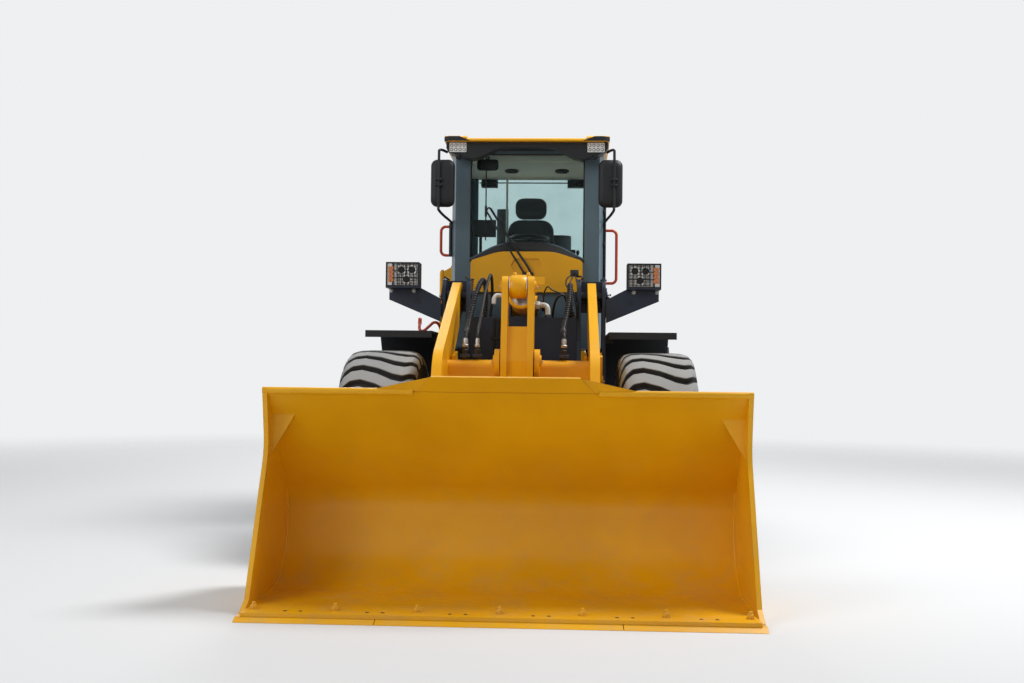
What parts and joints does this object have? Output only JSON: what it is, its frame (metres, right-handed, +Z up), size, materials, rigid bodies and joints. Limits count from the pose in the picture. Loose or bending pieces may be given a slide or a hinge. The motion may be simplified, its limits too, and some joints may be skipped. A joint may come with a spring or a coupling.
{
  "type": "wheel loader",
  "caption": "Articulated wheel loader with a Z-bar bucket linkage, glazed cab, rear engine hood, lugged tyres and a wide straight-edged bucket.",
  "frame": {"origin": "centre of the bounding box's base, on the ground under the machine", "axes": "+X to the machine's left, -Y forward towards the bucket, +Z up"},
  "size_m": [3.024, 8.08, 3.537],
  "materials": {
    "yellow": "satin",
    "frame_grey": "satin",
    "cast_grey": "matte",
    "glass": "clear",
    "seat_cloth": "matte",
    "black_plastic": "matte",
    "rail_red": "satin",
    "lamp_glass": "gloss",
    "black_steel": "matte",
    "tyre": "matte",
    "pillar_grey": "satin",
    "trim_beige": "matte",
    "chrome": "polished"
  },
  "bodies": {
    "rear_frame": {"rear_frame": "frame_grey", "rear_axle": "yellow", "driveline": "frame_grey", "engine": "cast_grey", "counterweight": "frame_grey", "tow_hitch": "frame_grey", "hood": "yellow", "cab_shell": "pillar_grey", "cab_cowl": "yellow", "roof_visor": "black_plastic", "headliner": "trim_beige", "dashboard": "black_plastic", "hydraulic_tank": "yellow", "tail_lamps": "lamp_glass", "cab_glass": "glass", "cab_roof": "yellow", "seat": "seat_cloth", "controls": "black_plastic", "mirrors": "black_plastic", "handrails": "rail_red", "roof_lamps": "lamp_glass", "exhaust": "black_steel", "precleaner": "black_plastic", "rear_fenders": "black_plastic", "side_boxes": "frame_grey", "steer_barrels": "yellow"},
    "cab_door": {"cab_door": "frame_grey", "door_glass": "glass"},
    "rear_grille": {"rear_grille": "frame_grey"},
    "front_frame": {"front_frame": "frame_grey", "front_axle": "yellow", "front_fenders": "black_plastic", "lamp_brackets": "frame_grey", "headlamps": "black_plastic", "lamp_lenses": "lamp_glass", "front_shaft": "cast_grey"},
    "boom": {"boom": "yellow"},
    "bellcrank": {"bellcrank": "yellow"},
    "tilt_link": {"tilt_link": "yellow"},
    "bucket": {"bucket": "yellow", "cutting_edge": "yellow"},
    "lift_barrel_left": {"lift_barrel_left": "yellow"},
    "lift_barrel_right": {"lift_barrel_right": "yellow"},
    "lift_rod_left": {"lift_rod_left": "chrome"},
    "lift_rod_right": {"lift_rod_right": "chrome"},
    "tilt_barrel": {"tilt_barrel": "yellow"},
    "tilt_rod": {"tilt_rod": "chrome"},
    "steer_rod_left": {"steer_rod_left": "chrome"},
    "steer_rod_right": {"steer_rod_right": "chrome"},
    "wheel_front_left": {"tyre_front_left": "tyre", "rim_front_left": "yellow"},
    "wheel_front_right": {"tyre_front_right": "tyre", "rim_front_right": "yellow"},
    "wheel_rear_left": {"tyre_rear_left": "tyre", "rim_rear_left": "yellow"},
    "wheel_rear_right": {"tyre_rear_right": "tyre", "rim_rear_right": "yellow"}
  },
  "joints": [
    {"name": "steering", "type": "hinge", "parent": "rear_frame", "child": "front_frame", "pos_m": [0, 0.31, 0.8], "axis": [0, 0, 1], "range_deg": [-38, 38]},
    {"name": "boom_lift", "type": "hinge", "parent": "front_frame", "child": "boom", "pos_m": [0, -0.55, 2.09], "axis": [-1, 0, 0], "range_deg": [0, 84]},
    {"name": "bucket_tilt", "type": "hinge", "parent": "boom", "child": "bucket", "pos_m": [0, -2.7, 0.36], "axis": [1, 0, 0], "range_deg": [-42, 128]},
    {"name": "crank_turn", "type": "hinge", "parent": "boom", "child": "bellcrank", "pos_m": [0, -1.85, 1.52], "axis": [1, 0, 0], "range_deg": [-31.2, 10.24]},
    {"name": "link_turn", "type": "hinge", "parent": "bucket", "child": "tilt_link", "pos_m": [0, -2.693, 0.684], "axis": [1, 0, 0], "range_deg": [-83.73, 27.47]},
    {"name": "tilt_barrel_turn", "type": "hinge", "parent": "front_frame", "child": "tilt_barrel", "pos_m": [0, -0.3997, 2.017], "axis": [-1, 0, 0], "range_deg": [0, 66.44]},
    {"name": "tilt_rod_slide", "type": "slide", "parent": "tilt_barrel", "child": "tilt_rod", "axis": [0, -0.9987, 0.0505], "range_m": [-0.31095, 0.10203]},
    {"name": "lift_barrel_left_turn", "type": "hinge", "parent": "front_frame", "child": "lift_barrel_left", "pos_m": [0.58, -0.2, 1], "axis": [-1, 0, 0], "range_deg": [0, 40.27]},
    {"name": "lift_rod_left_slide", "type": "slide", "parent": "lift_barrel_left", "child": "lift_rod_left", "axis": [0, -0.9535, 0.3015], "range_m": [0, 0.93548]},
    {"name": "steer_rod_left_slide", "type": "slide", "parent": "rear_frame", "child": "steer_rod_left", "axis": [-0.0504, -0.9987, 0], "range_m": [-0.2439, 0.2439]},
    {"name": "lift_barrel_right_turn", "type": "hinge", "parent": "front_frame", "child": "lift_barrel_right", "pos_m": [-0.58, -0.2, 1], "axis": [-1, 0, 0], "range_deg": [0, 40.27]},
    {"name": "lift_rod_right_slide", "type": "slide", "parent": "lift_barrel_right", "child": "lift_rod_right", "axis": [0, -0.9535, 0.3015], "range_m": [0, 0.93548]},
    {"name": "steer_rod_right_slide", "type": "slide", "parent": "rear_frame", "child": "steer_rod_right", "axis": [0.0504, -0.9987, 0], "range_m": [-0.2439, 0.2439]},
    {"name": "wheel_front_left_spin", "type": "hinge", "parent": "front_frame", "child": "wheel_front_left", "pos_m": [1.075, -1.29, 0.8], "axis": [1, 0, 0], "continuous": true},
    {"name": "wheel_front_right_spin", "type": "hinge", "parent": "front_frame", "child": "wheel_front_right", "pos_m": [-1.075, -1.29, 0.8], "axis": [1, 0, 0], "continuous": true},
    {"name": "wheel_rear_left_spin", "type": "hinge", "parent": "rear_frame", "child": "wheel_rear_left", "pos_m": [1.075, 1.91, 0.8], "axis": [1, 0, 0], "continuous": true},
    {"name": "wheel_rear_right_spin", "type": "hinge", "parent": "rear_frame", "child": "wheel_rear_right", "pos_m": [-1.075, 1.91, 0.8], "axis": [1, 0, 0], "continuous": true},
    {"name": "cab_door_hinge", "type": "hinge", "parent": "rear_frame", "child": "cab_door", "pos_m": [0.718, 1.057, 2.4], "axis": [0, 0, 1], "range_deg": [0, 100]},
    {"name": "rear_grille_hinge", "type": "hinge", "parent": "rear_frame", "child": "rear_grille", "pos_m": [0.578, 3.643, 2], "axis": [0, 0, -1], "range_deg": [0, 100]}
  ],
  "couplings": [
    {"joint": "crank_turn", "follows": "bucket_tilt", "ratio": -0.24371},
    {"joint": "link_turn", "follows": "bucket_tilt", "ratio": -0.65406},
    {"joint": "tilt_barrel_turn", "follows": "boom_lift", "ratio": 0.79092},
    {"joint": "tilt_rod_slide", "follows": "bucket_tilt", "m_per_rad": -0.13917},
    {"joint": "lift_barrel_left_turn", "follows": "boom_lift", "ratio": 0.47939},
    {"joint": "lift_rod_left_slide", "follows": "boom_lift", "m_per_rad": 0.63802},
    {"joint": "steer_rod_left_slide", "follows": "steering", "m_per_rad": -0.3677},
    {"joint": "lift_barrel_right_turn", "follows": "boom_lift", "ratio": 0.47939},
    {"joint": "lift_rod_right_slide", "follows": "boom_lift", "m_per_rad": 0.63802},
    {"joint": "steer_rod_right_slide", "follows": "steering", "m_per_rad": 0.3677}
  ]
}
